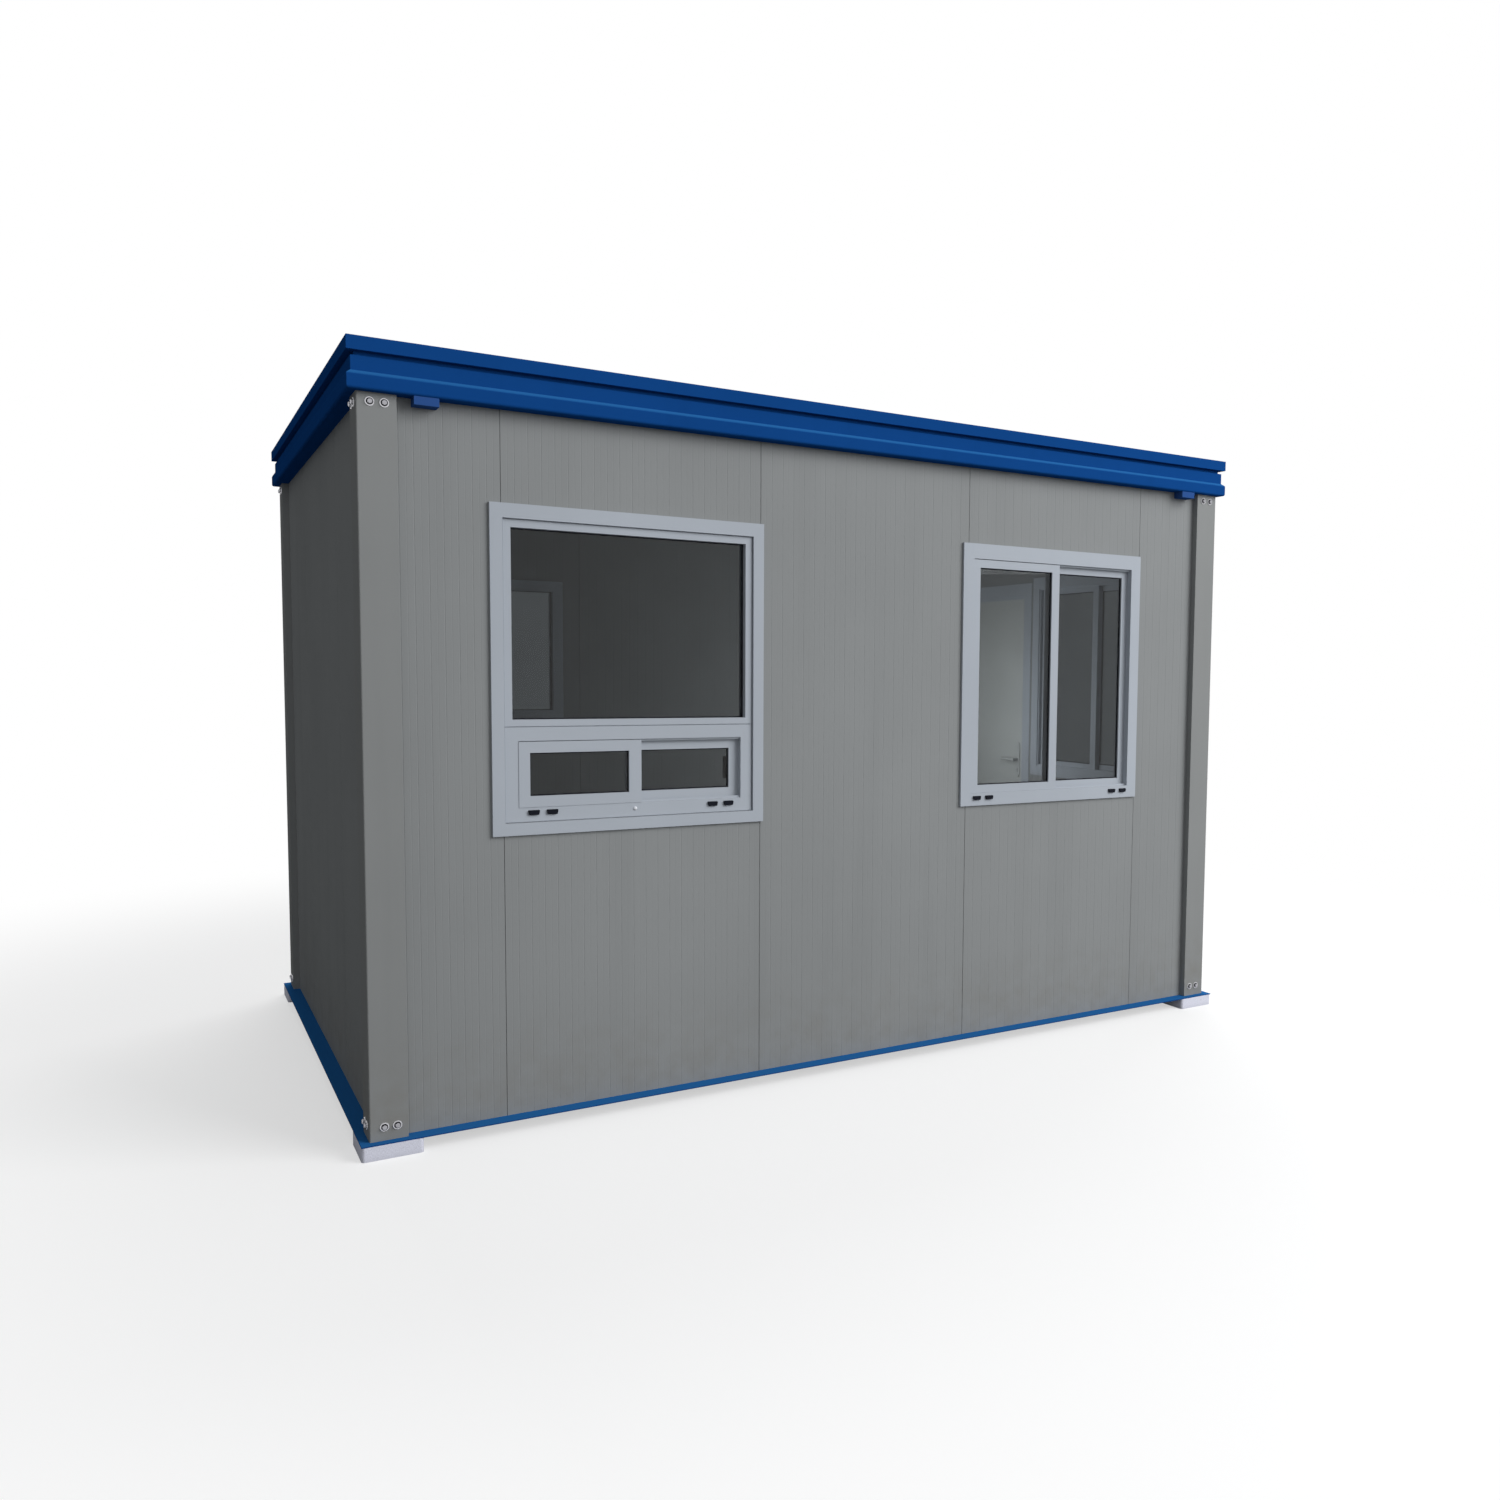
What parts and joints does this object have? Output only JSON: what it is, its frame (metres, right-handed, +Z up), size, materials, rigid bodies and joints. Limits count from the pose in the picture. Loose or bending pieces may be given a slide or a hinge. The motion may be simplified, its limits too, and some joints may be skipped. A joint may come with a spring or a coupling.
{
  "type": "site container cabin",
  "caption": "One-room site cabin: blue base and stepped roof frame, bolted grey corner posts, ribbed sandwich panels, counter window with sliding hatch, sliding windows and a hinged side door",
  "frame": {"origin": "on the ground under the middle of the cabin", "axes": "+X along the long front to the right as seen from outside, the front faces -Y, +Z is up"},
  "size_m": [4, 2.5, 2.719],
  "materials": {
    "concrete": "pale cast concrete, lightly pitted",
    "frame_blue": "satin blue enamel on folded steel sheet",
    "zinc_steel": "hot-dip galvanised steel sheet",
    "floor_board": "cement-bonded board with a plain grey floor covering",
    "ceiling_white": "white coated board",
    "post_grey": "satin warm grey enamel on folded steel sheet",
    "panel_grey": "warm grey coil-coated steel skin with fine upright ribs",
    "door_grey": "warm grey coated steel skin",
    "window_white": "white powder-coated aluminium profile",
    "window_glass": "grey-tinted float glass that reads dark against the unlit room",
    "fittings_black": "black nylon-coated lever and barrels"
  },
  "bodies": {
    "cabin": {"corner_pads": "concrete", "base_frame_front": "frame_blue", "base_frame_back": "frame_blue", "base_frame_left": "frame_blue", "base_frame_right": "frame_blue", "roof_frame_front": "frame_blue", "roof_frame_back": "frame_blue", "roof_frame_left": "frame_blue", "roof_frame_right": "frame_blue", "lifting_lugs": "frame_blue", "floor_joist_set": "zinc_steel", "roof_joist_set": "zinc_steel", "roof_sheet": "zinc_steel", "door_hinge_pins": "zinc_steel", "floor_deck": "floor_board", "ceiling": "ceiling_white", "post_front_left": "post_grey", "post_front_right": "post_grey", "post_back_left": "post_grey", "post_back_right": "post_grey", "front_panel_left": "panel_grey", "front_panels_below_windows": "panel_grey", "front_panels_above_windows": "panel_grey", "front_panel_middle": "panel_grey", "front_panel_right": "panel_grey", "back_panels": "panel_grey", "back_panel_with_window": "panel_grey", "left_wall_panels": "panel_grey", "right_panel_front": "panel_grey", "right_panels_at_window": "panel_grey", "right_panel_at_lock": "panel_grey", "right_panel_over_door": "panel_grey", "right_panel_at_hinges": "panel_grey", "counter_window_frame": "window_white", "hatch_sashes": "window_white", "sliding_window_frame": "window_white", "sliding_window_sashes": "window_white", "end_window_frame": "window_white", "end_window_sashes": "window_white", "back_window_frame": "window_white", "door_frame": "window_white", "counter_window_glass": "window_glass", "window_glass": "window_glass"},
    "door": {"door_leaf": "door_grey", "door_fittings": "fittings_black"}
  },
  "joints": [
    {"name": "door_hinge", "type": "hinge", "parent": "cabin", "child": "door", "pos_m": [1.953, 1.0175, 0.191], "axis": [0, 0, 1], "range_deg": [0, 110]}
  ]
}
